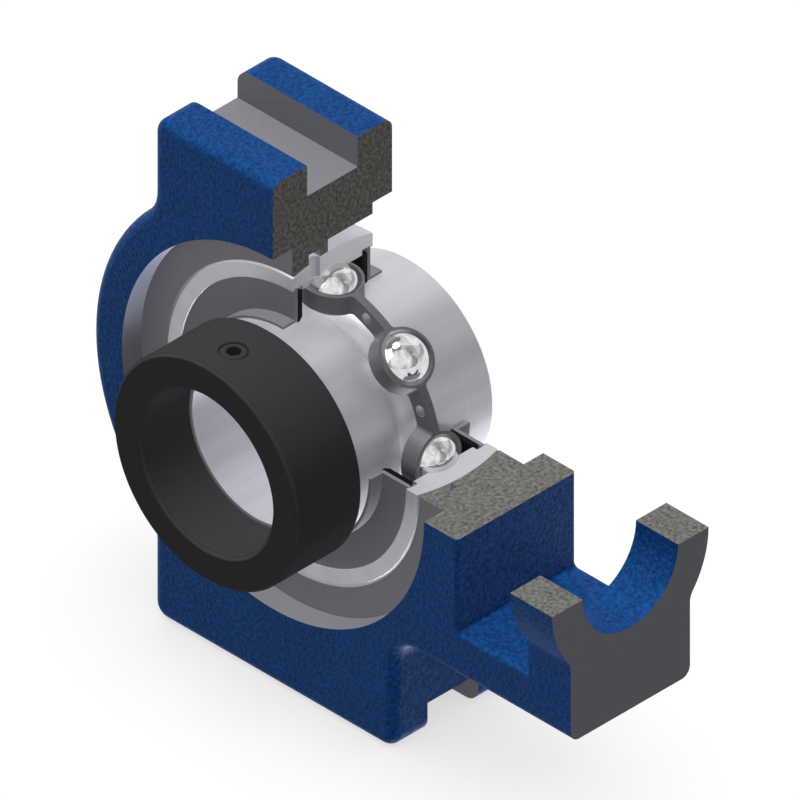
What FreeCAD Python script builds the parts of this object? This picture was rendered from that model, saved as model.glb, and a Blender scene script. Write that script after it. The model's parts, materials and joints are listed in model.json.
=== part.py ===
import FreeCAD, Part
import Sketcher
import math
import os

# Take up bearing unit, shown as a quarter section: a cast housing that slides between two guide
# rails, with a self-aligning ball bearing insert for a 30 mm shaft. Millimetres. The origin is the
# centre of the bearing, the shaft runs along Y with the locking collar at -Y, the adjusting screw
# enters from +X and the guide grooves are at the top and bottom.

SIZES = {
    # inner ring
    "bore_radius": 15.0,
    "inner_ring_wall": 5.0,
    "inner_ring_front_reach": 18.2,
    "inner_ring_back_reach": 18.3,
    "ring_chamfer": 0.5,
    "eccentric_drop": 1.6,
    "eccentric_offset": 0.8,
    "eccentric_length": 3.6,
    # balls and raceways
    "ball_count": 8,
    "ball_radius": 4.7625,
    "ball_rise": 3.0,
    "race_conformity": 1.03,
    "race_clearance": 0.03,
    # outer ring
    "outer_land_rise": 3.2,
    "outer_ring_wall": 4.8,
    "outer_ring_width": 19.0,
    "outer_face_step": 0.7,
    "seal_groove_depth": 1.0,
    "seal_groove_width": 2.0,
    "seal_inset": 0.5,
    "lube_hole_radius": 1.3,
    # cage
    "cage_inner_clearance": 1.6,
    "cage_outer_clearance": 1.1,
    "cage_sheet": 0.8,
    "cage_band_wall": 0.5,
    "cage_ball_clearance": 0.17,
    "cage_outer_bend": 0.8,
    "cage_inner_bend": 0.4,
    "rivet_radius": 0.7,
    "rivet_head_radius": 1.05,
    "rivet_head_height": 0.5,
    # seals
    "seal_sheet": 0.7,
    "seal_fit_clearance": 0.05,
    "seal_flange_wall": 0.5,
    "seal_flange_gap": 0.3,
    "seal_flange_reach": 2.2,
    "seal_rubber_thickness": 1.1,
    "lip_clearance": 0.05,
    "lip_thickness": 0.5,
    # locking collar and set screw
    "collar_gap": 0.2,
    "collar_rise": 2.0,
    "collar_width": 15.3,
    "collar_bore_clearance": 0.5,
    "collar_chamfer": 0.6,
    "eccentric_clearance": 0.2,
    "set_screw_radius": 2.5,
    "set_screw_clearance": 0.05,
    "set_screw_inset": 6.7,
    "set_screw_mouth_radius": 0.4,
    "set_screw_recess": 0.25,
    "set_screw_tip_gap": 0.65,
    "set_screw_chamfer": 0.3,
    "hex_socket_flats": 2.5,
    "hex_socket_depth": 2.5,
    # housing, bearing seat
    "seat_clearance": 0.04,
    "seat_mouth_chamfer": 0.6,
    "lube_groove_place": 4.25,
    "lube_groove_width": 2.7,
    "lube_groove_depth": 1.5,
    "loading_slot_width": 20.0,
    "loading_slot_length": 10.6,
    "loading_slot_depth": 2.5,
    "recess_step": 4.75,
    "recess_depth": 4.6,
    # housing, casting
    "hub_wall": 7.25,
    "rail_rise": 8.0,
    "rail_length": 57.0,
    "rail_corner_radius": 3.0,
    "groove_width": 12.0,
    "groove_depth": 6.2,
    "hub_blend_radius": 8.0,
    "cove_radius": 5.0,
    "casting_edge_radius": 2.0,
    "nut_pocket_wall": 7.75,
    "nut_pocket_height": 38.0,
    "nut_pocket_width": 17.0,
    "nut_pocket_corner": 0.8,
    "nut_pocket_edge_radius": 0.75,
    "arm_wall": 9.0,
    "screw_hole_radius": 11.3,
    "boss_wall": 7.2,
    "boss_thickness": 10.0,
    "boss_blend_radius": 3.0,
}


class Size:
    """A length that carries both its number and the spreadsheet formula that it follows."""

    def __init__(self, number, formula):
        self.number = number
        self.formula = formula

    def join(self, other, sign, number):
        return Size(number, f"({self.formula} {sign} {as_size(other).formula})")

    def __add__(self, other):
        return self.join(other, "+", self.number + as_size(other).number)

    def __sub__(self, other):
        return self.join(other, "-", self.number - as_size(other).number)

    def __mul__(self, other):
        return self.join(other, "*", self.number * as_size(other).number)

    def __truediv__(self, other):
        return self.join(other, "/", self.number / as_size(other).number)

    def __neg__(self):
        return self * -1


def as_size(value):
    return value if isinstance(value, Size) else Size(float(value), f"({value})")


def other_leg(long_side, leg):
    """Third side of a right-angled triangle."""
    return Size(
        math.sqrt(long_side.number ** 2 - leg.number ** 2),
        f"sqrt({long_side.formula} * {long_side.formula} - {leg.formula} * {leg.formula})",
    )


ORIGIN = Size(0.0, "0")


def fill_sheet(doc):
    sheet = doc.addObject("Spreadsheet::Sheet", "Sizes")
    for row, (name, value) in enumerate(SIZES.items(), start=1):
        sheet.set(f"A{row}", name)
        sheet.set(f"B{row}", str(value))
        sheet.setAlias(f"B{row}", name)
    doc.recompute()
    return {name: Size(float(value), f"Sizes.{name}") for name, value in SIZES.items()}


doc = FreeCAD.newDocument("take_up_bearing_unit")
size = fill_sheet(doc)


# Sketching helpers

def new_body(label):
    body = doc.addObject("PartDesign::Body", label)
    body.Label = label
    return body


def origin_feature(body, role):
    return next(feature for feature in body.Origin.OriginFeatures if feature.Role == role)


def new_sketch(body, name, role, offset=None):
    """Sketch on one of the body's origin planes, moved along the plane's normal by offset."""
    sketch = body.newObject("Sketcher::SketchObject", name)
    sketch.AttachmentSupport = [(origin_feature(body, role), "")]
    sketch.MapMode = "FlatFace"
    if offset is not None:
        sketch.setExpression("AttachmentOffset.Base.z", offset.formula)
    return sketch


def pin_point(sketch, curve, end, across, along):
    """Fix one point of a curve at a distance from the sketch's two axes."""
    for place, kind, axis in ((across, "DistanceX", -2), (along, "DistanceY", -1)):
        if place.number == 0.0:
            sketch.addConstraint(Sketcher.Constraint("PointOnObject", curve, end, axis))
        else:
            pinned = sketch.addConstraint(Sketcher.Constraint(kind, -1, 1, curve, end, place.number))
            sketch.setExpression(f"Constraints[{pinned}]", place.formula)


def set_radius(sketch, curve, radius):
    held = sketch.addConstraint(Sketcher.Constraint("Radius", curve, radius.number))
    sketch.setExpression(f"Constraints[{held}]", radius.formula)


def add_circle(sketch, across, along, radius):
    centre = FreeCAD.Vector(across.number, along.number, 0)
    curve = sketch.addGeometry(Part.Circle(centre, FreeCAD.Vector(0, 0, 1), radius.number), False)
    pin_point(sketch, curve, 3, across, along)
    set_radius(sketch, curve, radius)


def arc_between(start, end, radius, turn):
    """Arc under a half turn: turn is 1 for anticlockwise from start to end and -1 for clockwise."""
    chord = end - start
    middle = (start + end) * 0.5
    rise = math.sqrt(max(radius ** 2 - (chord.Length / 2) ** 2, 0.0))
    side = FreeCAD.Vector(-chord.y, chord.x, 0).normalize()
    centre = middle + side * (rise * turn)
    first, last = (start, end) if turn > 0 else (end, start)
    angles = [math.atan2(point.y - centre.y, point.x - centre.x) for point in (first, last)]
    circle = Part.Circle(centre, FreeCAD.Vector(0, 0, 1), radius)
    return Part.ArcOfCircle(circle, angles[0], angles[1])


def add_outline(sketch, stops):
    """Closed outline through the stops. A stop is (across, along), or (across, along, radius, turn)
    where the stretch from it to the next stop is an arc."""
    points = [FreeCAD.Vector(stop[0].number, stop[1].number, 0) for stop in stops]
    ends = []
    for index, stop in enumerate(stops):
        start, end = points[index], points[(index + 1) % len(points)]
        if len(stop) == 2:
            curve = sketch.addGeometry(Part.LineSegment(start, end), False)
            ends.append((curve, 1, 2))
        else:
            radius, turn = stop[2], stop[3]
            curve = sketch.addGeometry(arc_between(start, end, radius.number, turn), False)
            ends.append((curve, 1, 2) if turn > 0 else (curve, 2, 1))
    for index, stop in enumerate(stops):
        curve, first, _ = ends[index]
        before, _, last = ends[index - 1]
        sketch.addConstraint(Sketcher.Constraint("Coincident", before, last, curve, first))
        pin_point(sketch, curve, first, stop[0], stop[1])
    for (curve, _, _), stop in zip(ends, stops):
        if len(stop) == 4:
            set_radius(sketch, curve, stop[2])


def mirrored(side, stops):
    """The same outline on the side of y that side names, 1 or -1."""
    return [(stop[0], stop[1] * side) if len(stop) == 2
            else (stop[0], stop[1] * side, stop[2], stop[3] * side) for stop in stops]


def add_rectangle(sketch, left, right, low, high):
    add_outline(sketch, [(left, low), (right, low), (right, high), (left, high)])


# Feature helpers

def changed_volume(body, before, grows, name):
    """Every feature has to add or remove material, so a cut that points away is caught here."""
    doc.recompute()
    after = body.Shape.Volume
    if (after > before) != grows or abs(after - before) < 1e-6:
        raise RuntimeError(f"{body.Label}: {name} changed the volume from {before} to {after}")


def volume_of(body):
    doc.recompute()
    return body.Shape.Volume if body.Tip else 0.0


def pad(body, sketch, length, name, symmetric=False, reverse=False):
    before = volume_of(body)
    feature = body.newObject("PartDesign::Pad", name)
    feature.Profile = sketch
    feature.setExpression("Length", length.formula)
    feature.SideType = "Symmetric" if symmetric else "One side"
    feature.Reversed = reverse
    changed_volume(body, before, True, name)
    return feature


def pocket(body, sketch, name, length=None, symmetric=False, reverse=False):
    """Cut of a given length, or through everything where no length is given."""
    before = volume_of(body)
    feature = body.newObject("PartDesign::Pocket", name)
    feature.Profile = sketch
    if length is None:
        feature.Type = "ThroughAll"
    else:
        feature.setExpression("Length", length.formula)
    feature.SideType = "Symmetric" if symmetric else "One side"
    feature.Reversed = reverse
    changed_volume(body, before, False, name)
    return feature


def turn(body, sketch, name, axis="V_Axis", cut=False):
    """Full turn of a sketch about one of its own axes or edges, added or cut away."""
    before = volume_of(body)
    kind = "PartDesign::Groove" if cut else "PartDesign::Revolution"
    feature = body.newObject(kind, name)
    feature.Profile = sketch
    feature.ReferenceAxis = (sketch, [axis])
    feature.Angle = 360
    changed_volume(body, before, not cut, name)
    return feature


def repeat_round_shaft(body, features, count, name, grows):
    before = volume_of(body)
    pattern = body.newObject("PartDesign::PolarPattern", name)
    pattern.Originals = features
    pattern.Axis = (origin_feature(body, "Y_Axis"), [""])
    pattern.Angle = 360
    pattern.setExpression("Occurrences", count.formula)
    body.Tip = pattern
    changed_volume(body, before, grows, name)


def fillet(body, base, edge_names, radius, name):
    if not edge_names:
        raise RuntimeError(f"{body.Label}: {name} found no edges")
    feature = body.newObject("PartDesign::Fillet", name)
    feature.Base = (base, edge_names)
    feature.setExpression("Radius", radius.formula)
    doc.recompute()
    return feature


def edges_where(feature, wanted):
    """Names of the feature's edges whose every vertex and middle point is wanted."""
    names = []
    for index, edge in enumerate(feature.Shape.Edges, start=1):
        middle = edge.valueAt((edge.FirstParameter + edge.LastParameter) / 2)
        if all(wanted(point) for point in [vertex.Point for vertex in edge.Vertexes] + [middle]):
            names.append(f"Edge{index}")
    return names


def close_to(number, size_wanted):
    return abs(number - size_wanted.number) < 1e-4


# Places that more than one piece needs

inner_ring_radius = size["bore_radius"] + size["inner_ring_wall"]
inner_ring_front = -size["inner_ring_front_reach"]
eccentric_shoulder = inner_ring_front + size["eccentric_length"]
eccentric_radius = inner_ring_radius - size["eccentric_drop"]

pitch_radius = inner_ring_radius + size["ball_rise"]
race_radius = size["ball_radius"] * size["race_conformity"]
outer_race_centre = pitch_radius + size["ball_radius"] + size["race_clearance"] - race_radius
inner_race_centre = pitch_radius - size["ball_radius"] - size["race_clearance"] + race_radius

outer_land_radius = pitch_radius + size["outer_land_rise"]
insert_radius = outer_land_radius + size["outer_ring_wall"]
half_ring_width = size["outer_ring_width"] / 2
seal_groove_radius = outer_land_radius + size["seal_groove_depth"]
seal_groove_outer = half_ring_width - size["seal_inset"]
seal_groove_inner = seal_groove_outer - size["seal_groove_width"]

cage_inner_radius = inner_ring_radius + size["cage_inner_clearance"]
cage_outer_radius = outer_land_radius - size["cage_outer_clearance"]

collar_back = eccentric_shoulder - size["collar_gap"]
collar_front = collar_back - size["collar_width"]
collar_radius = inner_ring_radius + size["collar_rise"]
set_screw_place = collar_front + size["set_screw_inset"]

recess_radius = insert_radius + size["recess_step"]
half_depth = half_ring_width + size["recess_depth"]
hub_radius = recess_radius + size["hub_wall"]
half_height = hub_radius + size["rail_rise"]
half_rail = size["rail_length"] / 2
arm_half = size["nut_pocket_height"] / 2 + size["arm_wall"]
nut_pocket_start = recess_radius + size["nut_pocket_wall"]
end_wall = nut_pocket_start + size["nut_pocket_width"]
end_face = end_wall + size["boss_thickness"]
boss_radius = size["screw_hole_radius"] + size["boss_wall"]
cut_reach = (end_face + half_height) * 2


def cut_away_quarter(body):
    """The section: everything beyond x = 0 and above z = 0 is taken away."""
    sketch = new_sketch(body, "section_sketch", "XZ_Plane")
    add_rectangle(sketch, ORIGIN, cut_reach, ORIGIN, cut_reach)
    pocket(body, sketch, "quarter_section", symmetric=True)


# Housing

def casting_outline(sketch):
    """Front outline of the casting: round hub, a rail block above and below, and the screw end."""
    corner, cove, blend = size["rail_corner_radius"], size["cove_radius"], size["hub_blend_radius"]
    blend_across = -half_rail - blend
    blend_along = other_leg(hub_radius + blend, half_rail + blend)
    shrink = hub_radius / (hub_radius + blend)
    hub_across, hub_along = blend_across * shrink, blend_along * shrink
    add_outline(sketch, [
        (-half_rail + corner, -half_height),
        (half_rail - corner, -half_height, corner, 1),
        (half_rail, -half_height + corner),
        (half_rail, -arm_half - cove, cove, -1),
        (half_rail + cove, -arm_half),
        (end_face, -arm_half),
        (end_face, arm_half),
        (half_rail + cove, arm_half, cove, -1),
        (half_rail, arm_half + cove),
        (half_rail, half_height - corner, corner, 1),
        (half_rail - corner, half_height),
        (-half_rail + corner, half_height, corner, 1),
        (-half_rail, half_height - corner),
        (-half_rail, blend_along, blend, -1),
        (hub_across, hub_along, hub_radius, 1),
        (hub_across, -hub_along, blend, -1),
        (-half_rail, -blend_along),
        (-half_rail, -half_height + corner, corner, 1),
    ])


def nut_pocket_outline(sketch):
    half = size["nut_pocket_height"] / 2
    corner = size["nut_pocket_corner"]
    left, right = nut_pocket_start, end_wall
    add_outline(sketch, [
        (left + corner, -half),
        (right, -half),
        (right, half),
        (left + corner, half, corner, 1),
        (left, half - corner),
        (left, -half + corner, corner, 1),
    ])


def turned_bore_outline(sketch):
    """What is turned out of the casting: a recess each side, the ball-shaped seat between them and
    the lubrication groove in it. Across is the radius and along is the shaft direction."""
    seat = insert_radius + size["seat_clearance"]
    chamfer, past_face = size["seat_mouth_chamfer"], half_depth * 1.5
    floor, mouth_edge = half_ring_width, half_ring_width - chamfer
    mouth = other_leg(seat, mouth_edge)
    groove_radius = insert_radius + size["lube_groove_depth"]
    groove_start = -size["lube_groove_place"] - size["lube_groove_width"] / 2
    groove_end = groove_start + size["lube_groove_width"]
    add_outline(sketch, [
        (ORIGIN, -past_face),
        (recess_radius, -past_face),
        (recess_radius, -floor),
        (mouth + chamfer / 2, -floor),
        (mouth, -mouth_edge, seat, 1),
        (other_leg(seat, groove_start), groove_start),
        (groove_radius, groove_start),
        (groove_radius, groove_end),
        (other_leg(seat, groove_end), groove_end, seat, 1),
        (mouth, mouth_edge),
        (mouth + chamfer / 2, floor),
        (recess_radius, floor),
        (recess_radius, past_face),
        (ORIGIN, past_face),
    ])


def make_housing():
    body = new_body("housing")
    outline = new_sketch(body, "casting_sketch", "XZ_Plane")
    casting_outline(outline)
    casting = pad(body, outline, half_depth * 2, "casting", symmetric=True)

    boss_sketch = new_sketch(body, "boss_sketch", "YZ_Plane", end_wall)
    add_circle(boss_sketch, ORIGIN, ORIGIN, boss_radius)
    boss = pad(body, boss_sketch, size["boss_thickness"], "screw_boss")

    boss_foot = other_leg(boss_radius, half_depth)
    blends = edges_where(boss, lambda point: close_to(abs(point.y), half_depth)
                         and close_to(abs(point.z), boss_foot))
    blended = fillet(body, boss, blends, size["boss_blend_radius"], "boss_blends")

    rims = edges_where(blended, lambda point: close_to(abs(point.y), half_depth)
                       and point.x < end_wall.number + 1e-4
                       and (abs(point.z) > arm_half.number - 1e-4 or point.x < 0))
    fillet(body, blended, rims, size["casting_edge_radius"], "casting_edges")

    pocket_sketch = new_sketch(body, "nut_pocket_sketch", "XZ_Plane")
    nut_pocket_outline(pocket_sketch)
    nut_pocket = pocket(body, pocket_sketch, "nut_pocket", symmetric=True)

    half_pocket = size["nut_pocket_height"].number / 2
    mouths = edges_where(nut_pocket, lambda point: close_to(abs(point.y), half_depth)
                         and nut_pocket_start.number - 1e-4 < point.x < end_wall.number + 1e-4
                         and abs(point.z) < half_pocket + 1e-4
                         and (point.x < end_wall.number - 1e-4 or abs(point.z) > half_pocket - 1e-4))
    fillet(body, nut_pocket, mouths, size["nut_pocket_edge_radius"], "nut_pocket_edges")

    pocket_middle = (nut_pocket_start + end_wall) / 2
    hole_sketch = new_sketch(body, "screw_hole_sketch", "YZ_Plane", pocket_middle)
    add_circle(hole_sketch, ORIGIN, ORIGIN, size["screw_hole_radius"])
    pocket(body, hole_sketch, "screw_hole", reverse=True)

    for name, side in (("top", 1), ("bottom", -1)):
        sketch = new_sketch(body, f"{name}_groove_sketch", "YZ_Plane")
        half_groove = size["groove_width"] / 2
        floor, outside = (half_height - size["groove_depth"]) * side, half_height * 1.1 * side
        low, high = (floor, outside) if side > 0 else (outside, floor)
        add_rectangle(sketch, -half_groove, half_groove, low, high)
        pocket(body, sketch, f"{name}_guide_groove", symmetric=True)

    bore_sketch = new_sketch(body, "bore_sketch", "XY_Plane")
    turned_bore_outline(bore_sketch)
    turn(body, bore_sketch, "bearing_seat", cut=True)

    half_slot, slot_radius = size["loading_slot_width"] / 2, insert_radius + size["loading_slot_depth"]
    slot_height = other_leg(slot_radius, half_slot)
    slot_start = half_ring_width - size["loading_slot_length"]
    slot_sketch = new_sketch(body, "loading_slot_sketch", "XZ_Plane", -slot_start)
    add_outline(slot_sketch, [
        (half_slot, -slot_height),
        (half_slot, slot_height, slot_radius, 1),
        (-half_slot, slot_height),
        (-half_slot, -slot_height, slot_radius, 1),
    ])
    pocket(body, slot_sketch, "loading_slots", length=size["loading_slot_length"])

    cut_away_quarter(body)
    return body


# Bearing rings

def make_outer_ring():
    body = new_body("outer_ring")
    sketch = new_sketch(body, "ring_sketch", "XY_Plane")
    half = half_ring_width
    rim = other_leg(insert_radius, half)
    land, groove = outer_land_radius, seal_groove_radius
    face = land + size["outer_face_step"]
    inner, outer = seal_groove_inner, seal_groove_outer
    race_edge = other_leg(race_radius, land - outer_race_centre)
    add_outline(sketch, [
        (rim, -half, insert_radius, 1),
        (rim, half),
        (face, half),
        (face, outer),
        (groove, outer),
        (groove, inner),
        (land, inner),
        (land, race_edge, race_radius, -1),
        (land, -race_edge),
        (land, -inner),
        (groove, -inner),
        (groove, -outer),
        (face, -outer),
        (face, -half),
    ])
    turn(body, sketch, "ring")
    hole_sketch = new_sketch(body, "lube_hole_sketch", "XY_Plane")
    add_circle(hole_sketch, ORIGIN, -size["lube_groove_place"], size["lube_hole_radius"])
    pocket(body, hole_sketch, "lube_hole", reverse=True)
    cut_away_quarter(body)
    return body


def make_inner_ring():
    body = new_body("inner_ring")
    sketch = new_sketch(body, "ring_sketch", "XY_Plane")
    bore, outside, chamfer = size["bore_radius"], inner_ring_radius, size["ring_chamfer"]
    back = size["inner_ring_back_reach"]
    race_edge = other_leg(race_radius, inner_race_centre - outside)
    add_outline(sketch, [
        (bore, eccentric_shoulder),
        (outside - chamfer, eccentric_shoulder),
        (outside, eccentric_shoulder + chamfer),
        (outside, -race_edge, race_radius, -1),
        (outside, race_edge),
        (outside, back - chamfer),
        (outside - chamfer, back),
        (bore + chamfer, back),
        (bore, back - chamfer),
    ])
    turn(body, sketch, "ring")
    end_sketch = new_sketch(body, "eccentric_sketch", "XZ_Plane", -eccentric_shoulder)
    add_circle(end_sketch, ORIGIN, size["eccentric_offset"], eccentric_radius)
    add_circle(end_sketch, ORIGIN, ORIGIN, bore)
    pad(body, end_sketch, size["eccentric_length"], "eccentric_end")
    return body


# Balls and cage

def make_balls():
    count = int(size["ball_count"].number)
    pitch, radius = pitch_radius.formula, size["ball_radius"].formula
    balls = []
    for index in range(count):
        ball = doc.addObject("Part::Sphere", f"ball_{index + 1}")
        ball.Label = f"ball_{index + 1}"
        angle = f"{index} * 360 deg / {size['ball_count'].formula}"
        ball.setExpression("Radius", radius)
        ball.setExpression("Placement.Base.x", f"{pitch} * sin({angle})")
        ball.setExpression("Placement.Base.z", f"{pitch} * cos({angle})")
        balls.append(ball)
    return balls


def band_outline(outer_radius):
    """Outside of one ball's band, with the bends where it leaves the flat ribbon. Across is along
    the ribbon and along is away from the other half."""
    sheet, bend = size["cage_sheet"], size["cage_outer_bend"]
    foot = other_leg(outer_radius + bend, sheet + bend)
    shrink = outer_radius / (outer_radius + bend)
    shoulder, rise = foot * shrink, (sheet + bend) * shrink
    return [
        (-foot, ORIGIN),
        (foot, ORIGIN),
        (foot, sheet, bend, -1),
        (shoulder, rise, outer_radius, 1),
        (-shoulder, rise, bend, -1),
        (-foot, sheet),
    ]


def hollow_outline(pocket_radius):
    """Inside of one ball's band. It starts on the far side of the parting plane."""
    bend = size["cage_inner_bend"]
    foot = other_leg(pocket_radius + bend, bend)
    shrink = pocket_radius / (pocket_radius + bend)
    shoulder, rise = foot * shrink, bend * shrink
    return [
        (-foot, -size["cage_sheet"]),
        (foot, -size["cage_sheet"]),
        (foot, ORIGIN, bend, -1),
        (shoulder, rise, pocket_radius, 1),
        (-shoulder, rise, bend, -1),
        (-foot, ORIGIN),
    ]


def make_cage_half(label, side):
    """Pressed ribbon bent out round each ball. side is 1 for the rear half and -1 for the front."""
    body = new_body(label)
    inner, outer = cage_inner_radius, cage_outer_radius
    pocket_radius = size["ball_radius"] + size["cage_ball_clearance"]

    ribbon = new_sketch(body, "ribbon_sketch", "XZ_Plane")
    add_circle(ribbon, ORIGIN, ORIGIN, inner)
    add_circle(ribbon, ORIGIN, ORIGIN, outer)
    pad(body, ribbon, size["cage_sheet"], "ribbon", reverse=side > 0)

    band_start = inner * 0.9
    band_length = outer * 1.05 - band_start
    band_sketch = new_sketch(body, "band_sketch", "XY_Plane", band_start)
    add_outline(band_sketch, mirrored(side, band_outline(pocket_radius + size["cage_band_wall"])))
    band = pad(body, band_sketch, band_length, "band")
    repeat_round_shaft(body, [band], size["ball_count"], "bands", grows=True)

    hollow_sketch = new_sketch(body, "hollow_sketch", "XY_Plane", band_start)
    add_outline(hollow_sketch, mirrored(side, hollow_outline(pocket_radius)))
    hollow = pocket(body, hollow_sketch, "hollow", length=band_length, reverse=True)
    repeat_round_shaft(body, [hollow], size["ball_count"], "hollows", grows=False)

    rim_sketch = new_sketch(body, "rim_sketch", "XZ_Plane")
    add_circle(rim_sketch, ORIGIN, ORIGIN, outer)
    add_circle(rim_sketch, ORIGIN, ORIGIN, outer * 2)
    pocket(body, rim_sketch, "outer_trim", symmetric=True)
    core_sketch = new_sketch(body, "core_sketch", "XZ_Plane")
    add_circle(core_sketch, ORIGIN, ORIGIN, inner)
    pocket(body, core_sketch, "inner_trim", symmetric=True)

    rivet_sketch = new_sketch(body, "rivet_hole_sketch", "XZ_Plane")
    across, along = rivet_place()
    add_circle(rivet_sketch, across, along, size["rivet_radius"])
    rivet_hole = pocket(body, rivet_sketch, "rivet_hole", symmetric=True)
    repeat_round_shaft(body, [rivet_hole], size["ball_count"], "rivet_holes", grows=False)
    return body


def rivet_place():
    """First rivet, in the middle of the ribbon and half a ball spacing round from the first ball."""
    half_step = math.radians(180.0 / size["ball_count"].number)
    circle = (cage_inner_radius + cage_outer_radius) / 2
    angle = f"180 deg / {size['ball_count'].formula}"
    return (Size(circle.number * math.sin(half_step), f"({circle.formula} * sin({angle}))"),
            Size(circle.number * math.cos(half_step), f"({circle.formula} * cos({angle}))"))


def make_rivets():
    """One rivet between each two balls, all in one node of separate solids, each with domed heads."""
    body = new_body("cage_rivets")
    body.AllowCompound = True
    across, along = rivet_place()
    sheet, height = size["cage_sheet"], size["rivet_head_height"]
    shank, head = size["rivet_radius"], size["rivet_head_radius"]
    dome = (head * head + height * height) / (height * 2)
    sketch = new_sketch(body, "rivet_sketch", "YZ_Plane", across)
    add_outline(sketch, [
        (sheet + height, along),
        (-sheet - height, along, dome, -1),
        (-sheet, along + head),
        (-sheet, along + shank),
        (sheet, along + shank),
        (sheet, along + head, dome, -1),
    ])
    rivet = turn(body, sketch, "rivet", axis="Edge1")
    repeat_round_shaft(body, [rivet], size["ball_count"], "rivets", grows=True)
    return body


# Seals

def make_seal(label, side):
    """Pressed steel disc held in the outer ring's groove, with a flange that shrouds the inner ring,
    and the rubber bonded behind it. side is 1 for the rear seal and -1 for the front one."""
    clearance = size["seal_fit_clearance"]
    shield_face = seal_groove_outer - clearance
    shield_back = shield_face - size["seal_sheet"]
    flange_inner = inner_ring_radius + size["seal_flange_gap"]
    flange_outer = flange_inner + size["seal_flange_wall"]
    flange_end = half_ring_width + size["seal_flange_reach"]
    edge = seal_groove_radius - clearance

    shield = new_body(f"{label}_shield")
    sketch = new_sketch(shield, "shield_sketch", "XY_Plane")
    add_outline(sketch, mirrored(side, [
        (flange_inner, shield_back),
        (edge, shield_back),
        (edge, shield_face),
        (flange_outer, shield_face),
        (flange_outer, flange_end),
        (flange_inner, flange_end),
    ]))
    turn(shield, sketch, "pressed_disc")
    cut_away_quarter(shield)

    rubber = new_body(f"{label}_lip")
    sketch = new_sketch(rubber, "rubber_sketch", "XY_Plane")
    rubber_back = shield_back - size["seal_rubber_thickness"]
    lip_tip = inner_ring_radius + size["lip_clearance"]
    rubber_edge = outer_land_radius - clearance
    add_outline(sketch, mirrored(side, [
        (lip_tip, shield_back - size["lip_thickness"]),
        (flange_outer, rubber_back),
        (rubber_edge, rubber_back),
        (rubber_edge, shield_back),
        (lip_tip, shield_back),
    ]))
    turn(rubber, sketch, "moulded_rubber")
    cut_away_quarter(rubber)
    return [shield, rubber]




# Locking collar and its set screw

def make_locking_collar():
    body = new_body("locking_collar")
    sketch = new_sketch(body, "collar_sketch", "XY_Plane")
    front, chamfer = collar_front, size["collar_chamfer"]
    bore, outside = size["bore_radius"] + size["collar_bore_clearance"], collar_radius
    add_outline(sketch, [
        (bore + chamfer, front),
        (outside - chamfer, front),
        (outside, front + chamfer),
        (outside, collar_back - chamfer),
        (outside - chamfer, collar_back),
        (bore, collar_back),
        (bore, front + chamfer),
    ])
    turn(body, sketch, "collar")

    recess_sketch = new_sketch(body, "eccentric_recess_sketch", "XZ_Plane", -collar_back)
    eccentric_recess = eccentric_radius + size["eccentric_clearance"]
    add_circle(recess_sketch, ORIGIN, size["eccentric_offset"], eccentric_recess)
    recess_depth = collar_back - inner_ring_front + size["collar_gap"]
    pocket(body, recess_sketch, "eccentric_recess", length=recess_depth, reverse=True)

    screw_sketch = new_sketch(body, "screw_hole_sketch", "XY_Plane")
    hole_radius = size["set_screw_radius"] + size["set_screw_clearance"]
    add_circle(screw_sketch, ORIGIN, set_screw_place, hole_radius)
    hole = pocket(body, screw_sketch, "screw_hole", reverse=True)
    mouth = edges_where(hole, lambda point: point.z > (bore.number + outside.number) / 2 and close_to(
        math.hypot(point.x, point.y - set_screw_place.number), hole_radius))
    fillet(body, hole, mouth, size["set_screw_mouth_radius"], "screw_mouth")
    return body


def make_set_screw():
    body = new_body("set_screw")
    radius, chamfer, middle = size["set_screw_radius"], size["set_screw_chamfer"], set_screw_place
    top = collar_radius - size["set_screw_recess"]
    end = size["bore_radius"] + size["set_screw_tip_gap"]
    blank_sketch = new_sketch(body, "blank_sketch", "YZ_Plane")
    add_outline(blank_sketch, [
        (middle, top),
        (middle, end),
        (middle + radius - chamfer, end),
        (middle + radius, end + chamfer),
        (middle + radius, top - chamfer),
        (middle + radius - chamfer, top),
    ])
    turn(body, blank_sketch, "blank", axis="Edge1")

    socket_sketch = new_sketch(body, "socket_sketch", "XY_Plane", top)
    half_flat = size["hex_socket_flats"] / 2
    corner = half_flat * round(2 / math.sqrt(3), 6)
    add_outline(socket_sketch, [
        (corner, middle),
        (corner / 2, middle + half_flat),
        (-corner / 2, middle + half_flat),
        (-corner, middle),
        (-corner / 2, middle - half_flat),
        (corner / 2, middle - half_flat),
    ])
    pocket(body, socket_sketch, "hex_socket", length=size["hex_socket_depth"])
    return body


# Build, check and write

def check(pieces):
    for item in doc.Objects:
        if "Invalid" in item.State or "Error" in item.State:
            raise RuntimeError(f"{item.Label} is {item.State}")
    for piece in pieces:
        if piece.Shape.isNull() or not piece.Shape.isValid() or piece.Shape.Volume <= 0:
            raise RuntimeError(f"{piece.Label} has no valid solid")


pieces = [make_housing(), make_outer_ring(), make_inner_ring()]
pieces += make_balls()
pieces += [make_cage_half("cage_front", -1), make_cage_half("cage_rear", 1), make_rivets()]
pieces += make_seal("front_seal", -1)
pieces += make_seal("rear_seal", 1)
pieces += [make_locking_collar(), make_set_screw()]
doc.recompute()
check(pieces)

os.makedirs("parts", exist_ok=True)
for piece in pieces:
    piece.Shape.exportStep(f"parts/{piece.Label}.step")
    box = piece.Shape.BoundBox
    print(f"{piece.Label}: {len(piece.Shape.Solids)} solid(s), {piece.Shape.Volume:.1f} mm3, "
          f"x {box.XMin:.2f} {box.XMax:.2f}, y {box.YMin:.2f} {box.YMax:.2f}, z {box.ZMin:.2f} {box.ZMax:.2f}")
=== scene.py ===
import json
import math

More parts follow.
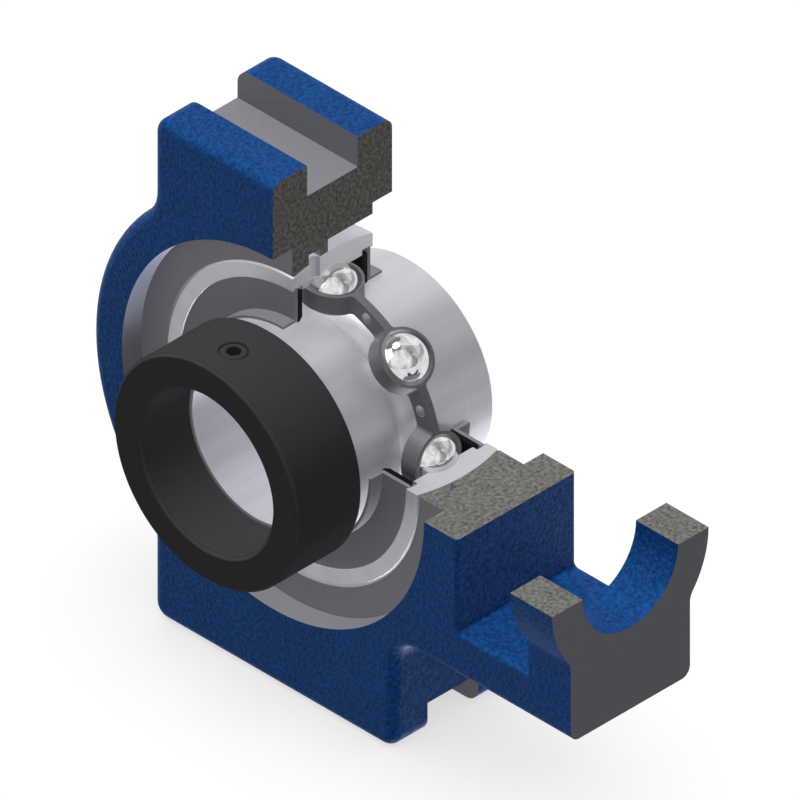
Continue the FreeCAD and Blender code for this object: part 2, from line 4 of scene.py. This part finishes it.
import bmesh
import bpy
import numpy as np
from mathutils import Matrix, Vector


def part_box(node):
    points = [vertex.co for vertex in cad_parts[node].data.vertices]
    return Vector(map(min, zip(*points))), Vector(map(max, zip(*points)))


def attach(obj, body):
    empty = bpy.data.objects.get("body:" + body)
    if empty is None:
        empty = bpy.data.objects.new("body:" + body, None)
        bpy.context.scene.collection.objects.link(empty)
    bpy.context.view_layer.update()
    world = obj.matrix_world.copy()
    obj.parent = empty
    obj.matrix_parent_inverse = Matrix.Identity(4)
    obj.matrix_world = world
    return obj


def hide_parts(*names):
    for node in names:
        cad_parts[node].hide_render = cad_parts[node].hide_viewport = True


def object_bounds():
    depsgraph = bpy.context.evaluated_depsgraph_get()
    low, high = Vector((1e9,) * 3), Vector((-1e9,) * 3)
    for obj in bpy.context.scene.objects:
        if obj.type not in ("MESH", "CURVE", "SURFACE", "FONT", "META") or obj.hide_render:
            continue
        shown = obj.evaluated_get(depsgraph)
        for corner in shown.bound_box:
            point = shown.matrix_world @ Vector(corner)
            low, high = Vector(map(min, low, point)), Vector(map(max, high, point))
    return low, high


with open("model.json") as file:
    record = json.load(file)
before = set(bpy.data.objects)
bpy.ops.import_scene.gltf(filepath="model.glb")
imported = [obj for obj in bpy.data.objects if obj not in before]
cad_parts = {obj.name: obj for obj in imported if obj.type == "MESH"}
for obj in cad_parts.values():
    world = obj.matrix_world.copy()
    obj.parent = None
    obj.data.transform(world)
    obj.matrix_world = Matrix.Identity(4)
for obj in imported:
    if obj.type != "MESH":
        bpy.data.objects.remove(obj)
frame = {"nodes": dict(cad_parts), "record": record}
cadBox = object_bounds()
nodes = frame["nodes"]
mm = 0.001
print("frame loaded:", len(nodes), "nodes")


# The body that each node belongs to
bodyOf = {name: body for body, names in frame["record"]["behaviour"]["bodies"].items() for name in names}


# Small helpers for shader trees
def addNode(tree, kind, inputs=None, **settings):
    # an input that is a socket is linked, and any other value is set
    made = tree.nodes.new(kind)
    for key, value in settings.items():
        setattr(made, key, value)
    for key, value in (inputs or {}).items():
        if isinstance(value, bpy.types.NodeSocket):
            tree.links.new(value, made.inputs[key])
        else:
            made.inputs[key].default_value = value
    return made


def mathNode(tree, operation, *values):
    return addNode(tree, "ShaderNodeMath", dict(enumerate(values)), operation=operation).outputs[0]


def mixColor(tree, factor, first, second):
    return addNode(tree, "ShaderNodeMix", {0: factor, 6: first, 7: second}, data_type="RGBA").outputs[2]


def mixValue(tree, factor, first, second):
    return addNode(tree, "ShaderNodeMix", {0: factor, 2: first, 3: second}, data_type="FLOAT").outputs[0]


def shaftRadius(tree, x, z):
    # distance from the shaft axis
    squares = mathNode(tree, "ADD", mathNode(tree, "MULTIPLY", x, x), mathNode(tree, "MULTIPLY", z, z))
    return mathNode(tree, "SQRT", squares)


def newGroup(name, inputs, outputs):
    tree = bpy.data.node_groups.new(name, "ShaderNodeTree")
    for label, kind, start in inputs:
        socket = tree.interface.new_socket(label, in_out="INPUT", socket_type=kind)
        if start is not None:
            socket.default_value = start
    for label, kind in outputs:
        tree.interface.new_socket(label, in_out="OUTPUT", socket_type=kind)
    return tree, tree.nodes.new("NodeGroupInput"), tree.nodes.new("NodeGroupOutput")


def useGroup(tree, group, inputs):
    return addNode(tree, "ShaderNodeGroup", inputs, node_tree=group)


# Grain, shared by the enamel, the cut iron, the sheet parts, the black oxide and the balls
grain = {"roughness": 0.55, "fineShare": 0.9, "wideShare": 0.1, "wideScale": 0.13, "wideDetail": 1.0}


def makeGrainGroup():
    # noise of one size over a second, wider one: a tone around 0.5, and a height
    tree, given, out = newGroup(
        "grain",
        [("Vector", "NodeSocketVector", None), ("Per Metre", "NodeSocketFloat", 900.0),
         ("Detail", "NodeSocketFloat", 2.0), ("Contrast", "NodeSocketFloat", 1.0)],
        [("Tone", "NodeSocketFloat"), ("Height", "NodeSocketFloat")])
    fine = addNode(tree, "ShaderNodeTexNoise", {
        "Vector": given.outputs["Vector"], "Scale": given.outputs["Per Metre"],
        "Detail": given.outputs["Detail"], "Roughness": grain["roughness"]})
    wide = addNode(tree, "ShaderNodeTexNoise", {
        "Vector": given.outputs["Vector"], "Detail": grain["wideDetail"],
        "Scale": mathNode(tree, "MULTIPLY", given.outputs["Per Metre"], grain["wideScale"])})
    both = mathNode(tree, "ADD", mathNode(tree, "MULTIPLY", fine.outputs[0], grain["fineShare"]),
                    mathNode(tree, "MULTIPLY", wide.outputs[0], grain["wideShare"]))
    scaled = mathNode(tree, "MULTIPLY", mathNode(tree, "SUBTRACT", both, 0.5), given.outputs["Contrast"])
    tone = addNode(tree, "ShaderNodeMath", {0: scaled, 1: 0.5}, operation="ADD", use_clamp=True)
    tree.links.new(tone.outputs[0], out.inputs["Tone"])
    tree.links.new(fine.outputs[0], out.inputs["Height"])
    return tree


# Turning marks, shared by the machined faces, the rings and the collar
turned = {"drift": 0.2 * mm, "lineDetail": 2.0, "sweepScale": 4.5, "sweepDetail": 2.0}


def makeTurnedGroup():
    # fine lines round the shaft axis, from noise on the radius and the place along the shaft,
    # and a slow sweep of tone round the circle, which the rings use as painted reflection streaks
    tree, given, out = newGroup(
        "turnedLines",
        [("Vector", "NodeSocketVector", None), ("Per Metre", "NodeSocketFloat", 6000.0)],
        [("Tone", "NodeSocketFloat"), ("Sweep", "NodeSocketFloat")])
    x, y, z = addNode(tree, "ShaderNodeSeparateXYZ", {0: given.outputs["Vector"]}).outputs
    around = mathNode(tree, "ARCTAN2", x, z)
    across = addNode(tree, "ShaderNodeCombineXYZ", {
        0: shaftRadius(tree, x, z), 1: y,
        2: mathNode(tree, "MULTIPLY", mathNode(tree, "SINE", around), turned["drift"])})
    lines = addNode(tree, "ShaderNodeTexNoise", {
        "Vector": across.outputs[0], "Scale": given.outputs["Per Metre"], "Detail": turned["lineDetail"]})
    circle = addNode(tree, "ShaderNodeCombineXYZ", {
        0: mathNode(tree, "SINE", around), 1: mathNode(tree, "COSINE", around)})
    sweep = addNode(tree, "ShaderNodeTexNoise", {
        "Vector": circle.outputs[0], "Scale": turned["sweepScale"], "Detail": turned["sweepDetail"]})
    tree.links.new(lines.outputs[0], out.inputs["Tone"])
    tree.links.new(sweep.outputs[0], out.inputs["Sweep"])
    return tree


def makeNearGroup():
    # 1 where a value lies within reach of a place, and 0 elsewhere
    tree, given, out = newGroup(
        "near",
        [("Value", "NodeSocketFloat", 0.0), ("Place", "NodeSocketFloat", 0.0),
         ("Reach", "NodeSocketFloat", 0.02 * mm)],
        [("Mask", "NodeSocketFloat")])
    found = mathNode(tree, "COMPARE", *[given.outputs[name] for name in ("Value", "Place", "Reach")])
    tree.links.new(found, out.inputs["Mask"])
    return tree


grainGroup = makeGrainGroup()
turnedGroup = makeTurnedGroup()
nearGroup = makeNearGroup()
print("shader groups made")


def near(tree, value, place, reach):
    return useGroup(tree, nearGroup, {"Value": value, "Place": place, "Reach": reach}).outputs["Mask"]


def newMaterial(name):
    material = bpy.data.materials.new(name)
    material.use_nodes = True
    tree = material.node_tree
    place = addNode(tree, "ShaderNodeTexCoord").outputs["Object"]
    return material, tree, tree.nodes["Principled BSDF"], place


def feedBump(tree, shader, height, strength, distance):
    bump = addNode(tree, "ShaderNodeBump", {"Height": height, "Strength": strength, "Distance": distance})
    tree.links.new(bump.outputs[0], shader.inputs["Normal"])


def dress(node, material):
    data = nodes[node].data
    data.materials.clear()
    data.materials.append(material)


# Housing: blue enamel on the cast skin, bare metal where it is machined, grainy iron where it is cut
housing = {
    "paint": (0.0052, 0.039, 0.142, 1.0), "paintLight": (0.0130, 0.089, 0.325, 1.0),
    "paintGrain": 1350.0, "paintDetail": 3.0, "paintContrast": 3.1, "paintRoughness": 0.42,
    "paintMetal": 0.08,
    "machined": (0.205, 0.205, 0.222, 1.0), "machinedLight": (0.262, 0.262, 0.283, 1.0),
    "machinedRoughness": 0.48, "machinedMetal": 0.06, "toolLines": 5000.0, "toolDepth": 0.04,
    # painted light and shade: the groove and recess faces are painted lighter where shade falls in them, the
    # end face painted darker
    "groovePaintedLight": 1.1, "recessPaintedLight": 1.3, "endFacePaintedShade": 0.70,
    "wallMetal": 0.22, "wallRoughness": 0.3,
    "cutDark": (0.090, 0.0885, 0.081, 1.0), "cutLight": (0.256, 0.251, 0.231, 1.0),
    "cutGrain": 1400.0, "cutDetail": 3.0, "cutContrast": 3.0, "cutRoughness": 0.8, "cutDepth": 0.6,
    "specularTint": (0.10, 0.28, 0.82, 1.0), "specularLevel": 0.05,
    "bump": 0.6, "bumpDepth": 0.46 * mm,
    # where the faces lie, each a hair inside or outside its place in the casting
    "grooveHalf": 6.01 * mm, "grooveFloor": 44.78 * mm, "recessRadius": 35.77 * mm,
    "wallInside": 35.6 * mm, "faceInside": 14.05 * mm, "endFace": 70.49 * mm, "planeReach": 0.02 * mm,
}


def dressHousing():
    have = housing
    material, tree, shader, place = newMaterial("castHousing")
    x, y, z = addNode(tree, "ShaderNodeSeparateXYZ", {0: place}).outputs
    absY, absZ = mathNode(tree, "ABSOLUTE", y), mathNode(tree, "ABSOLUTE", z)
    radius = shaftRadius(tree, x, z)

    # the section lies in the plane x = 0 above the shaft and in the plane z = 0 beyond it
    above = mathNode(tree, "GREATER_THAN", z, -have["planeReach"])
    beyond = mathNode(tree, "GREATER_THAN", x, -have["planeReach"])
    cut = mathNode(tree, "MAXIMUM",
                   mathNode(tree, "MULTIPLY", near(tree, x, 0.0, have["planeReach"]), above),
                   mathNode(tree, "MULTIPLY", near(tree, z, 0.0, have["planeReach"]), beyond))

    # the guide grooves, the recess round the insert with its outer wall, and the screw's end face
    groove = mathNode(tree, "MULTIPLY", mathNode(tree, "LESS_THAN", absY, have["grooveHalf"]),
                      mathNode(tree, "GREATER_THAN", absZ, have["grooveFloor"]))
    recess = mathNode(tree, "MULTIPLY", mathNode(tree, "LESS_THAN", radius, have["recessRadius"]),
                      mathNode(tree, "LESS_THAN", absY, have["faceInside"]))
    wall = mathNode(tree, "MULTIPLY", recess, mathNode(tree, "GREATER_THAN", radius, have["wallInside"]))
    endFace = mathNode(tree, "GREATER_THAN", x, have["endFace"])
    machined = mathNode(tree, "MAXIMUM", groove, mathNode(tree, "MAXIMUM", recess, endFace))
    bare = mathNode(tree, "MULTIPLY", machined, mathNode(tree, "SUBTRACT", 1.0, cut))
    painted = mathNode(tree, "SUBTRACT", 1.0, mathNode(tree, "MAXIMUM", machined, cut))

    skin = useGroup(tree, grainGroup, {
        "Vector": place, "Per Metre": have["paintGrain"], "Detail": have["paintDetail"],
        "Contrast": have["paintContrast"]})
    iron = useGroup(tree, grainGroup, {
        "Vector": place, "Per Metre": have["cutGrain"], "Detail": have["cutDetail"],
        "Contrast": have["cutContrast"]})
    lines = useGroup(tree, turnedGroup, {"Vector": place, "Per Metre": have["toolLines"]})

    paint = mixColor(tree, skin.outputs["Tone"], have["paint"], have["paintLight"])
    metal = mixColor(tree, lines.outputs["Tone"], have["machined"], have["machinedLight"])
    # painted light and shade: the groove and recess faces are painted lighter to offset the shade that falls
    # in them, and the end face is painted darker, a painted shade on the side that faces away from the main
    # lamp
    paintedLightScale = mixValue(tree, endFace, mixValue(tree, recess, have["groovePaintedLight"], have["recessPaintedLight"]),
                        have["endFacePaintedShade"])
    metalWithPaintedLight = addNode(tree, "ShaderNodeVectorMath", {0: metal, "Scale": paintedLightScale}, operation="SCALE")
    broken = mixColor(tree, iron.outputs["Tone"], have["cutDark"], have["cutLight"])
    color = mixColor(tree, cut, mixColor(tree, machined, paint, metalWithPaintedLight.outputs[0]), broken)
    tree.links.new(color, shader.inputs["Base Color"])

    bareRoughness = mixValue(tree, wall, have["machinedRoughness"], have["wallRoughness"])
    uncutRoughness = mixValue(tree, machined, have["paintRoughness"], bareRoughness)
    tree.links.new(mixValue(tree, cut, uncutRoughness, have["cutRoughness"]), shader.inputs["Roughness"])

    bareMetal = mixValue(tree, wall, have["machinedMetal"], have["wallMetal"])
    tree.links.new(mathNode(tree, "ADD", mathNode(tree, "MULTIPLY", bare, bareMetal),
                            mathNode(tree, "MULTIPLY", painted, have["paintMetal"])),
                   shader.inputs["Metallic"])
    shader.inputs["Specular IOR Level"].default_value = have["specularLevel"]
    shader.inputs["Specular Tint"].default_value = have["specularTint"]

    toolHeight = mathNode(tree, "MULTIPLY", lines.outputs["Tone"], have["toolDepth"])
    cutHeight = mathNode(tree, "MULTIPLY", iron.outputs["Height"], have["cutDepth"])
    height = mixValue(tree, cut, mixValue(tree, machined, skin.outputs["Height"], toolHeight), cutHeight)
    feedBump(tree, shader, height, have["bump"], have["bumpDepth"])
    dress("housing", material)


dressHousing()
print("housing dressed")


# Bearing rings: fine ground steel, with painted reflection streaks round the circle. A roughness that is a
# pair runs from the first to the second.
rings = {
    "dark": (0.45, 0.45, 0.485, 1.0), "light": (0.76, 0.76, 0.81, 1.0),
    "roughness": (0.34, 0.48), "metallic": 0.36,
    "lines": 7000.0, "lineShare": 0.35, "reflectionStreakShare": 0.65, "bump": 0.12, "bumpDepth": 0.02 * mm,
}


def makeGroundSteel():
    have = rings
    material, tree, shader, place = newMaterial("groundSteel")
    lines = useGroup(tree, turnedGroup, {"Vector": place, "Per Metre": have["lines"]})
    # the slow sweep round the circle is a painted reflection, light streaks along the shaft; the fine lines
    # are turning marks
    tone = mathNode(tree, "ADD", mathNode(tree, "MULTIPLY", lines.outputs["Tone"], have["lineShare"]),
                    mathNode(tree, "MULTIPLY", lines.outputs["Sweep"], have["reflectionStreakShare"]))
    tree.links.new(mixColor(tree, tone, have["dark"], have["light"]), shader.inputs["Base Color"])
    tree.links.new(mixValue(tree, lines.outputs["Tone"], *have["roughness"]), shader.inputs["Roughness"])
    shader.inputs["Metallic"].default_value = have["metallic"]
    feedBump(tree, shader, lines.outputs["Tone"], have["bump"], have["bumpDepth"])
    return material


groundSteel = makeGroundSteel()
for name in ("outer_ring", "inner_ring"):
    dress(name, groundSteel)
print("rings dressed")


# Sheet parts: what the cage, the rivets, the shields and the rubber share
sheet = {"detail": 2.0, "contrast": 1.8, "bump": 0.15, "bumpDepth": 0.04 * mm}


def makeSheet(name, have):
    material, tree, shader, place = newMaterial(name)
    skin = useGroup(tree, grainGroup, {
        "Vector": place, "Per Metre": have["grain"], "Detail": sheet["detail"],
        "Contrast": sheet["contrast"]})
    tree.links.new(mixColor(tree, skin.outputs["Tone"], have["dark"], have["light"]),
                   shader.inputs["Base Color"])
    tree.links.new(mixValue(tree, skin.outputs["Tone"], *have["roughness"]), shader.inputs["Roughness"])
    shader.inputs["Metallic"].default_value = have["metallic"]
    shader.inputs["Specular IOR Level"].default_value = have["specular"]
    feedBump(tree, shader, skin.outputs["Height"], sheet["bump"], sheet["bumpDepth"])
    return material


# Cage: dark pressed strip, with lighter rivets
cage = {
    "dark": (0.135, 0.135, 0.148, 1.0), "light": (0.195, 0.195, 0.213, 1.0),
    "roughness": (0.35, 0.50), "metallic": 0.12, "specular": 0.15, "grain": 2600.0,
}
rivets = {**cage, "dark": (0.26, 0.26, 0.275, 1.0), "light": (0.38, 0.38, 0.40, 1.0)}

cageStrip = makeSheet("cageStrip", cage)
for name in ("cage_front", "cage_rear"):
    dress(name, cageStrip)
dress("cage_rivets", makeSheet("rivetSteel", rivets))
print("cage dressed")


# Seals: dark sheet shields with black rubber lips
shields = {
    "dark": (0.215, 0.215, 0.229, 1.0), "light": (0.27, 0.27, 0.289, 1.0),
    "roughness": (0.40, 0.55), "metallic": 0.06, "specular": 0.05, "grain": 3000.0,
}
lips = {
    "dark": (0.003, 0.003, 0.003, 1.0), "light": (0.009, 0.009, 0.009, 1.0),
    "roughness": (0.55, 0.70), "metallic": 0.0, "specular": 0.05, "grain": 3000.0,
}

shieldSheet, sealRubber = makeSheet("shieldSheet", shields), makeSheet("sealRubber", lips)
for side in ("front", "rear"):
    dress(f"{side}_seal_shield", shieldSheet)
    dress(f"{side}_seal_lip", sealRubber)
print("seals dressed")


# Locking collar and set screw: black oxide, rubbed paler along the turned edges
collar = {
    "dark": (0.042, 0.042, 0.044, 1.0), "light": (0.062, 0.062, 0.065, 1.0),
    "rubbed": (0.10, 0.10, 0.104, 1.0), "rubAmount": 0.55, "edgeWidth": 0.28 * mm,
    "roughness": (0.37, 0.52), "specular": 0.0,
    "grain": 5200.0, "detail": 2.0, "contrast": 1.8,
    "lines": 3500.0, "bump": 0.2, "bumpDepth": 0.02 * mm,
    "edgeRadii": (21.85 * mm, 15.65 * mm), "edgeFaces": (-29.95 * mm, -14.95 * mm),
}


def makeBlackOxide():
    have = collar
    material, tree, shader, place = newMaterial("blackOxide")
    x, y, z = addNode(tree, "ShaderNodeSeparateXYZ", {0: place}).outputs
    radius = shaftRadius(tree, x, z)
    # an edge is where the radius is at a cylinder and the place along the shaft is at a face
    atRadius, atFace = [
        mathNode(tree, "MAXIMUM", *[near(tree, value, spot, have["edgeWidth"]) for spot in spots])
        for value, spots in ((radius, have["edgeRadii"]), (y, have["edgeFaces"]))]
    skin = useGroup(tree, grainGroup, {
        "Vector": place, "Per Metre": have["grain"], "Detail": have["detail"], "Contrast": have["contrast"]})
    lines = useGroup(tree, turnedGroup, {"Vector": place, "Per Metre": have["lines"]})
    rubbed = mathNode(tree, "MULTIPLY", mathNode(tree, "MULTIPLY", atRadius, atFace),
                      mathNode(tree, "MULTIPLY", lines.outputs["Sweep"], have["rubAmount"]))
    plain = mixColor(tree, skin.outputs["Tone"], have["dark"], have["light"])
    tree.links.new(mixColor(tree, rubbed, plain, have["rubbed"]), shader.inputs["Base Color"])
    tree.links.new(mixValue(tree, skin.outputs["Tone"], *have["roughness"]), shader.inputs["Roughness"])
    shader.inputs["Specular IOR Level"].default_value = have["specular"]
    feedBump(tree, shader, lines.outputs["Tone"], have["bump"], have["bumpDepth"])
    return material


blackOxide = makeBlackOxide()
for name in ("locking_collar", "set_screw"):
    dress(name, blackOxide)
print("collar dressed")


# Balls: polished chrome steel, as fine spheres in place of the plain ones
balls = {
    "radius": 4.7625 * mm, "around": 96, "upDown": 49, "mergeWithin": 0.0001 * mm,
    "color": (0.86, 0.86, 0.86, 1.0), "worn": (0.66, 0.66, 0.66, 1.0),
    "roughness": (0.04, 0.09), "metallic": 0.8, "grain": 700.0, "detail": 2.0, "contrast": 1.6,
}


def sphereGrid(centre):
    # a point at polar angle t and turn p is centre + radius (sin t cos p, sin t sin p, cos t)
    t = np.linspace(0.0, math.pi, balls["upDown"])[:, None]
    p = np.linspace(0.0, 2 * math.pi, balls["around"], endpoint=False)[None, :]
    points = np.stack([np.sin(t) * np.cos(p), np.sin(t) * np.sin(p), np.cos(t) * np.ones_like(p)], axis=-1)
    return np.array(centre) + balls["radius"] * points


def meshFromRounds(name, grid):
    # grid is rounds x points x 3: each round closes on itself, and quads join it to the next
    rounds, points = grid.shape[:2]
    here = np.arange(rounds * points).reshape(rounds, points)
    beside = np.roll(here, -1, axis=1)
    quads = np.stack([here[:-1], beside[:-1], beside[1:], here[1:]], axis=-1).reshape(-1, 4)
    mesh = bpy.data.meshes.new(name)
    mesh.from_pydata(grid.reshape(-1, 3).tolist(), [], quads.tolist())
    # the first and last rounds are the poles, which become single points
    work = bmesh.new()
    work.from_mesh(mesh)
    bmesh.ops.remove_doubles(work, verts=work.verts, dist=balls["mergeWithin"])
    bmesh.ops.recalc_face_normals(work, faces=work.faces)
    work.to_mesh(mesh)
    work.free()
    mesh.shade_smooth()
    return mesh


def makeBallSteel():
    have = balls
    material, tree, shader, place = newMaterial("ballChrome")
    skin = useGroup(tree, grainGroup, {
        "Vector": place, "Per Metre": have["grain"], "Detail": have["detail"], "Contrast": have["contrast"]})
    tree.links.new(mixColor(tree, skin.outputs["Tone"], have["color"], have["worn"]),
                   shader.inputs["Base Color"])
    tree.links.new(mixValue(tree, skin.outputs["Tone"], *have["roughness"]), shader.inputs["Roughness"])
    shader.inputs["Metallic"].default_value = have["metallic"]
    return material


def makeBalls():
    chrome = makeBallSteel()
    for node in sorted(name for name in nodes if name.startswith("ball_")):
        low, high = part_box(node)
        mesh = meshFromRounds(f"polished_{node}", sphereGrid((low + high) / 2))
        mesh.materials.append(chrome)
        piece = bpy.data.objects.new(f"polished_{node}", mesh)
        bpy.context.scene.collection.objects.link(piece)
        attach(piece, bodyOf[node])
        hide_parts(node)


makeBalls()
print("balls made")


# Stage: pale floor, even sky, a broad sun from above, a fill from below, four corner suns for an even
# level, and a window to the left that is seen only in gleams. The suns cast no shadow, so that the
# inside of the bearing is lit as its outside is.
white = (1.0, 1.0, 1.0, 1.0)
stage = {
    "floorSize": 6.0, "floorShade": 0.16, "floorPale": 0.8, "floorShown": 0.85, "floorWhite": 1.06,
    "shadowTone": 0.62, "shadowReach": 30.0 * mm,
    "ambient": 0.10, "skyWhite": 1.0, "skyDark": 0.10, "skyLight": 0.82,
    "cloudScale": 1.3, "cloudDetail": 2.5, "cloudRoughness": 0.55, "cloudDistortion": 0.9,
    "cloudLow": 0.32, "cloudHigh": 0.68,
    "mainFrom": (-0.363, -0.089, 0.927), "mainStrength": 2.31, "mainSpread": 24.0,
    "fillFrom": (0.0, 0.394, -0.919), "fillStrength": 1.326, "fillSpread": 60.0,
    "cornerFrom": [(-1, -1, -1), (-1, 1, 1), (1, -1, 1), (1, 1, -1)],
    "cornerStrength": 0.66, "cornerSpread": 90.0, "sunFar": 1.0,
    "windowFrom": (-0.62, -0.66, 0.45), "windowFar": 0.6, "windowWide": 0.75, "windowHigh": 0.7,
    "windowPower": 2.4,
}


def makeFloor():
    low = cadBox[0][2]
    half = stage["floorSize"] / 2
    mesh = bpy.data.meshes.new("floor")
    mesh.from_pydata([(-half, -half, low), (half, -half, low), (half, half, low), (-half, half, low)],
                     [], [(0, 1, 2, 3)])
    floor = bpy.data.objects.new("floor", mesh)
    bpy.context.scene.collection.objects.link(floor)
    material = bpy.data.materials.new("floor")
    material.use_nodes = True
    tree = material.node_tree
    tree.nodes.clear()
    # white where it is seen or mirrored, and plain grey where it throws light back at the object
    path = addNode(tree, "ShaderNodeLightPath")
    mirrored = mathNode(tree, "MAXIMUM", path.outputs["Is Glossy Ray"], path.outputs["Is Transmission Ray"])
    seen = mathNode(tree, "MAXIMUM", path.outputs["Is Camera Ray"], mirrored)
    shade = mixValue(tree, seen, stage["floorShade"], stage["floorPale"])
    grey = addNode(tree, "ShaderNodeCombineColor", {0: shade, 1: shade, 2: shade})
    plain = addNode(tree, "ShaderNodeBsdfDiffuse", {"Color": grey.outputs[0]})
    # the suns cast no shadow, so the object's shadow on the floor is the sky that it hides from it
    openSky = addNode(tree, "ShaderNodeAmbientOcclusion", {"Distance": stage["shadowReach"]})
    glow = addNode(tree, "ShaderNodeEmission", {
        "Color": white,
        "Strength": mixValue(tree, openSky.outputs["AO"], stage["shadowTone"], stage["floorWhite"])})
    mixed = addNode(tree, "ShaderNodeMixShader", {
        0: mathNode(tree, "MULTIPLY", seen, stage["floorShown"]), 1: plain.outputs[0], 2: glow.outputs[0]})
    addNode(tree, "ShaderNodeOutputMaterial", {"Surface": mixed.outputs[0]})
    mesh.materials.append(material)


def makeSky():
    # white to the camera, even to plain surfaces, and softly mottled to polished ones
    world = bpy.data.worlds.new("studio")
    world.use_nodes = True
    bpy.context.scene.world = world
    tree = world.node_tree
    tree.nodes.clear()
    way = addNode(tree, "ShaderNodeTexCoord").outputs["Generated"]
    clouds = addNode(tree, "ShaderNodeTexNoise", {
        "Vector": way, "Scale": stage["cloudScale"], "Detail": stage["cloudDetail"],
        "Roughness": stage["cloudRoughness"], "Distortion": stage["cloudDistortion"]})
    mottled = addNode(tree, "ShaderNodeMapRange", {
        "Value": clouds.outputs[0], "From Min": stage["cloudLow"], "From Max": stage["cloudHigh"],
        "To Min": stage["skyDark"], "To Max": stage["skyLight"]})
    path = addNode(tree, "ShaderNodeLightPath")
    mirrored = mathNode(tree, "MAXIMUM", path.outputs["Is Glossy Ray"], path.outputs["Is Transmission Ray"])
    unseen = mixValue(tree, mirrored, stage["ambient"], mottled.outputs[0])
    strength = mixValue(tree, path.outputs["Is Camera Ray"], unseen, stage["skyWhite"])
    light = addNode(tree, "ShaderNodeBackground", {"Color": white, "Strength": strength})
    addNode(tree, "ShaderNodeOutputWorld", {"Surface": light.outputs[0]})


def aimed(data, name, target, toward, far):
    # an object that stands away from the target and looks back at it
    held = bpy.data.objects.new(name, data)
    away = Vector(toward).normalized()
    held.location = Vector(target) + away * far
    held.rotation_euler = away.to_track_quat("Z", "Y").to_euler()
    bpy.context.scene.collection.objects.link(held)
    return held


def makeSun(name, toward, strength, spread):
    sun = bpy.data.lights.new(name, "SUN")
    sun.energy = strength
    sun.angle = math.radians(spread)
    sun.use_shadow = False
    aimed(sun, name, (0.0, 0.0, 0.0), toward, stage["sunFar"])
    return sun


def makeLamps():
    makeSun("mainLamp", stage["mainFrom"], stage["mainStrength"], stage["mainSpread"])
    fill = makeSun("fillLamp", stage["fillFrom"], stage["fillStrength"], stage["fillSpread"])
    # keeps the fill's whole gleam on the recess wall, although the casting stands before the lamp
    fill.cycles.use_multiple_importance_sampling = False
    for count, corner in enumerate(stage["cornerFrom"], start=1):
        makeSun(f"cornerLamp{count}", corner, stage["cornerStrength"], stage["cornerSpread"])
    window = bpy.data.lights.new("windowLamp", "AREA")
    window.shape = "RECTANGLE"
    window.size, window.size_y = stage["windowWide"], stage["windowHigh"]
    window.energy = stage["windowPower"]
    held = aimed(window, "windowLamp", (0.0, 0.0, 0.0), stage["windowFrom"], stage["windowFar"])
    held.visible_diffuse = False
    held.visible_camera = False


# Camera: parallel view down the cube's diagonal, from the front right above
camera = {
    "span": 133.85 * mm, "target": (7.985 * mm, 7.985 * mm, 0.04 * mm),
    "from": (1.0, -1.0, 1.0), "far": 1.0, "seesTo": 10.0,
}


def makeCamera():
    data = bpy.data.cameras.new("view")
    data.type = "ORTHO"
    data.ortho_scale = camera["span"]
    data.clip_end = camera["seesTo"]
    bpy.context.scene.camera = aimed(data, "view", camera["target"], camera["from"], camera["far"])


makeFloor()
makeSky()
makeLamps()
makeCamera()
bpy.context.scene.view_settings.view_transform = "Standard"
print("stage and camera made")
